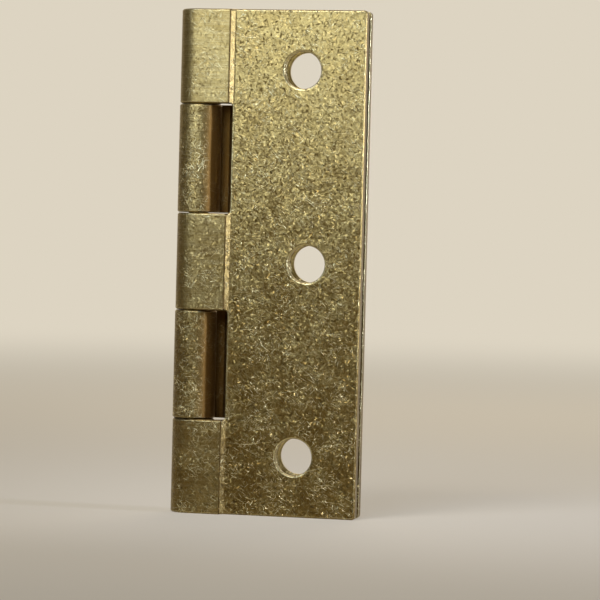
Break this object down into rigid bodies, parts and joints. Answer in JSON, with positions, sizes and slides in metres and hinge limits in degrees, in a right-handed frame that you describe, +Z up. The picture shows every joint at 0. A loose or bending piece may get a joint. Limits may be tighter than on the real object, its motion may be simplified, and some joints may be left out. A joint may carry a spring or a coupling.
{
  "type": "butt hinge",
  "caption": "Pressed butt hinge with rolled knuckles on a fixed pin, cranked leaves and countersunk staggered screw holes, shown closed.",
  "frame": {"origin": "on the seat face of the three-knuckle leaf, midway between its two outer screw holes", "axes": "+Z up along the pin, +X from the pin towards the free edges of the closed leaves, -Y out of the seat face of the three-knuckle leaf"},
  "size_m": [0.0285, 0.0063, 0.075],
  "materials": {
    "leaf_brass": "pressed sheet, tumbled and brass plated",
    "pin_brass": "drawn wire, brass plated"
  },
  "bodies": {
    "frame_leaf": {"three_knuckle_leaf": "leaf_brass", "hinge_pin": "pin_brass"},
    "door_leaf": {"two_knuckle_leaf": "leaf_brass"}
  },
  "joints": [
    {"name": "leaf_swing", "type": "hinge", "parent": "frame_leaf", "child": "door_leaf", "pos_m": [-0.0159, 0.0023, 0], "axis": [0, 0, 1], "range_deg": [-3, 300]}
  ]
}
